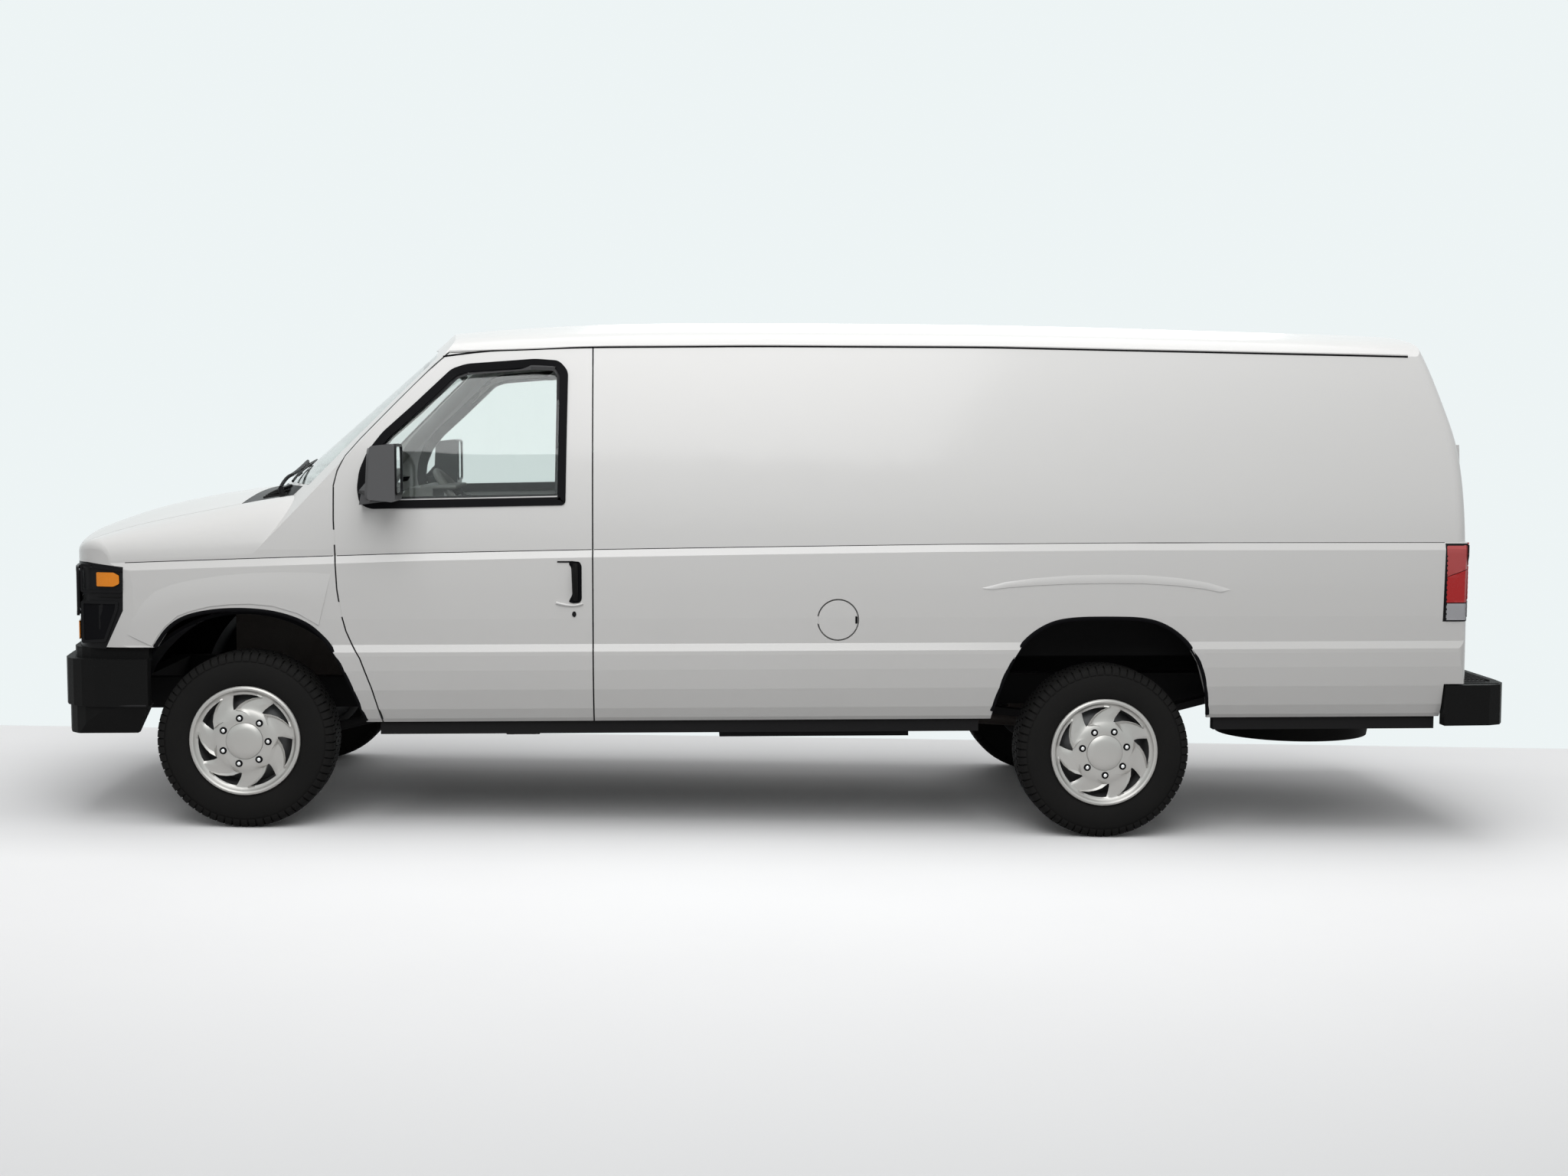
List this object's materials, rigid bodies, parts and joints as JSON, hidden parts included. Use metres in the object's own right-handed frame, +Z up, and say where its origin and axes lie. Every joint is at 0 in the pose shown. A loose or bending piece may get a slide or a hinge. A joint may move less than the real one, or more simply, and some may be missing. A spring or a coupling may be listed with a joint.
{
  "type": "full-size cargo van",
  "caption": "Extended full-size cargo van with opening doors and hood, plain closed sides, steered front wheels and rolling wheels.",
  "frame": {"origin": "on the ground, midway along the overall length and on the centre plane", "axes": "+X towards the rear along the length, +Y towards the van's right side, +Z up; the left side faces the viewer who looks along +Y"},
  "size_m": [6.0009, 2.48, 2.1354],
  "materials": {
    "paint": "gloss",
    "black_metal": "satin",
    "dark_metal": "rough",
    "bumper_plastic": "grained",
    "grey_trim": "grained",
    "window_glass": "clear",
    "lamp_lens": "clear lens over a black bezel",
    "tail_lens": "red lens",
    "tyre_rubber": "matte",
    "wheel_silver": "satin",
    "seat_cloth": "woven",
    "steel": "dull"
  },
  "bodies": {
    "van_body": {"body_side_left": "paint", "body_side_right": "paint", "roof_panel": "paint", "front_fenders": "paint", "cowl_panel": "bumper_plastic", "grille": "bumper_plastic", "headlamps": "lamp_lens", "tail_lamps": "tail_lens", "windshield_frame": "paint", "windshield": "window_glass", "front_bumper": "bumper_plastic", "rear_bumper": "bumper_plastic", "floor_pan": "black_metal", "wheel_boxes": "black_metal", "firewall": "grey_trim", "engine_cover": "grey_trim", "dashboard": "grey_trim", "seats": "seat_cloth", "frame_rails": "black_metal", "crossmembers": "black_metal", "engine": "dark_metal", "driveshaft": "dark_metal", "rear_axle": "dark_metal", "leaf_springs": "black_metal", "front_axle_beams": "black_metal", "fuel_tank": "black_metal", "exhaust": "steel", "spare_wheel": "tyre_rubber", "wheel_liners": "bumper_plastic"},
    "front_door_left": {"front_door_left": "paint", "door_glass_left": "window_glass", "mirror_left": "bumper_plastic"},
    "front_door_right": {"front_door_right": "paint", "door_glass_right": "window_glass", "mirror_right": "bumper_plastic"},
    "side_door_front": {"side_door_front": "paint"},
    "side_door_rear": {"side_door_rear": "paint"},
    "rear_door_left": {"rear_door_left": "paint", "rear_glass_left": "window_glass"},
    "rear_door_right": {"rear_door_right": "paint", "rear_glass_right": "window_glass"},
    "hood": {"hood": "paint"},
    "fuel_door": {"fuel_door": "paint"},
    "steering_wheel": {"steering_wheel": "grey_trim"},
    "knuckle_left": {"knuckle_left": "dark_metal"},
    "knuckle_right": {"knuckle_right": "dark_metal"},
    "wheel_front_left": {"tyre_front_left": "tyre_rubber", "wheel_front_left": "wheel_silver"},
    "wheel_front_right": {"tyre_front_right": "tyre_rubber", "wheel_front_right": "wheel_silver"},
    "wheel_rear_left": {"tyre_rear_left": "tyre_rubber", "wheel_rear_left": "wheel_silver"},
    "wheel_rear_right": {"tyre_rear_right": "tyre_rubber", "wheel_rear_right": "wheel_silver"}
  },
  "joints": [
    {"name": "front_door_left_hinge", "type": "hinge", "parent": "van_body", "child": "front_door_left", "pos_m": [-1.82014, -1.007, 0.90814], "axis": [0.0209, 0, -0.9998], "range_deg": [0, 68]},
    {"name": "front_door_right_hinge", "type": "hinge", "parent": "van_body", "child": "front_door_right", "pos_m": [-1.82014, 1.007, 0.90814], "axis": [-0.0209, 0, 0.9998], "range_deg": [0, 68]},
    {"name": "side_door_front_hinge", "type": "hinge", "parent": "van_body", "child": "side_door_front", "pos_m": [-0.72038, 1.018, 0.93117], "axis": [-0.0209, -0.0797, 0.9966], "range_deg": [0, 90]},
    {"name": "side_door_rear_hinge", "type": "hinge", "parent": "van_body", "child": "side_door_rear", "pos_m": [0.42937, 1.018, 0.95526], "axis": [0.0209, 0.0797, -0.9966], "range_deg": [0, 90]},
    {"name": "rear_door_left_hinge", "type": "hinge", "parent": "van_body", "child": "rear_door_left", "pos_m": [2.80285, -0.858, 1.00497], "axis": [0.0708, 0, -0.9975], "range_deg": [0, 90]},
    {"name": "rear_door_right_hinge", "type": "hinge", "parent": "van_body", "child": "rear_door_right", "pos_m": [2.80285, 0.858, 1.00497], "axis": [-0.0708, 0, 0.9975], "range_deg": [0, 90]},
    {"name": "hood_hinge", "type": "hinge", "parent": "van_body", "child": "hood", "pos_m": [-2.25672, 0, 1.36109], "axis": [0, 1, 0], "range_deg": [0, 55]},
    {"name": "fuel_door_hinge", "type": "hinge", "parent": "van_body", "child": "fuel_door", "pos_m": [0.11368, -1.001, 0.88963], "axis": [0.0209, 0, -0.9998], "range_deg": [0, 90]},
    {"name": "steer_left", "type": "hinge", "parent": "van_body", "child": "knuckle_left", "pos_m": [-2.1992, -0.74, 0.358], "axis": [0, 0, 1], "range_deg": [-32, 32]},
    {"name": "steer_right", "type": "hinge", "parent": "van_body", "child": "knuckle_right", "pos_m": [-2.1992, 0.74, 0.358], "axis": [0, 0, 1], "range_deg": [-32, 32]},
    {"name": "steering_wheel_turn", "type": "hinge", "parent": "van_body", "child": "steering_wheel", "pos_m": [-1.3684, -0.535, 1.30769], "axis": [0.7482, 0, 0.6635], "range_deg": [-512, 512]},
    {"name": "front_left_spin", "type": "hinge", "parent": "knuckle_left", "child": "wheel_front_left", "pos_m": [-2.1992, -0.8815, 0.358], "axis": [0, 1, 0], "continuous": true},
    {"name": "front_right_spin", "type": "hinge", "parent": "knuckle_right", "child": "wheel_front_right", "pos_m": [-2.1992, 0.8815, 0.358], "axis": [0, 1, 0], "continuous": true},
    {"name": "rear_left_spin", "type": "hinge", "parent": "van_body", "child": "wheel_rear_left", "pos_m": [1.3058, -0.855, 0.358], "axis": [0, 1, 0], "continuous": true},
    {"name": "rear_right_spin", "type": "hinge", "parent": "van_body", "child": "wheel_rear_right", "pos_m": [1.3058, 0.855, 0.358], "axis": [0, 1, 0], "continuous": true}
  ],
  "couplings": [
    {"joint": "steer_right", "follows": "steer_left", "ratio": 1},
    {"joint": "steering_wheel_turn", "follows": "steer_left", "ratio": 16}
  ]
}
